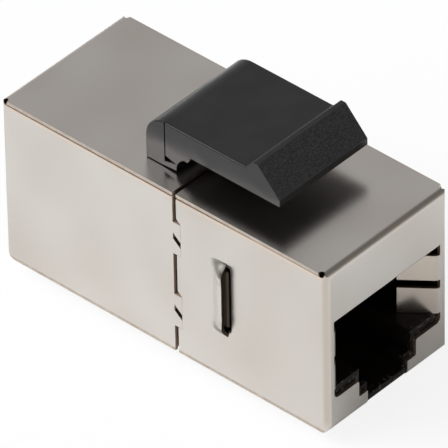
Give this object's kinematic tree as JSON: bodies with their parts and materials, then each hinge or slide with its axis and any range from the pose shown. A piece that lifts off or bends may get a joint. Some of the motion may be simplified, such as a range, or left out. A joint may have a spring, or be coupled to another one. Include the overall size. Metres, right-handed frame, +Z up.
{
  "type": "rj45 inline coupler",
  "caption": "Shielded inline coupler that joins two modular network plugs end to end, with a snap-in keystone latch on a two-part folded metal body.",
  "frame": {"origin": "under the middle of the body, level with the lowest point of the keystone hook", "axes": "+Z up through the latch, -Y out of the front port, +Y out of the rear port, X across the body"},
  "size_m": [0.016, 0.0342, 0.0226],
  "materials": {
    "nickel_shield": "bright nickel plate on folded sheet",
    "black_housing": "moulded black",
    "black_latch": "satin black with a spark-eroded wedge",
    "board": "solder mask",
    "gold_contact": "gold plated spring wire"
  },
  "bodies": {
    "body": {"front_shield": "nickel_shield", "rear_shield": "nickel_shield", "front_housing": "black_housing", "rear_housing": "black_housing", "front_contact_carrier": "black_housing", "rear_contact_carrier": "black_housing", "circuit_board": "board", "front_contact_1": "gold_contact", "front_contact_2": "gold_contact", "front_contact_3": "gold_contact", "front_contact_4": "gold_contact", "front_contact_5": "gold_contact", "front_contact_6": "gold_contact", "front_contact_7": "gold_contact", "front_contact_8": "gold_contact", "rear_contact_1": "gold_contact", "rear_contact_2": "gold_contact", "rear_contact_3": "gold_contact", "rear_contact_4": "gold_contact", "rear_contact_5": "gold_contact", "rear_contact_6": "gold_contact", "rear_contact_7": "gold_contact", "rear_contact_8": "gold_contact"},
    "latch": {"keystone_latch": "black_latch"}
  },
  "joints": [
    {"name": "latch_press", "type": "hinge", "parent": "body", "child": "latch", "pos_m": [0, 0.00185, 0.01645], "axis": [1, 0, 0], "range_deg": [0, 6], "stiffness_Nm_per_rad": 0.3}
  ]
}
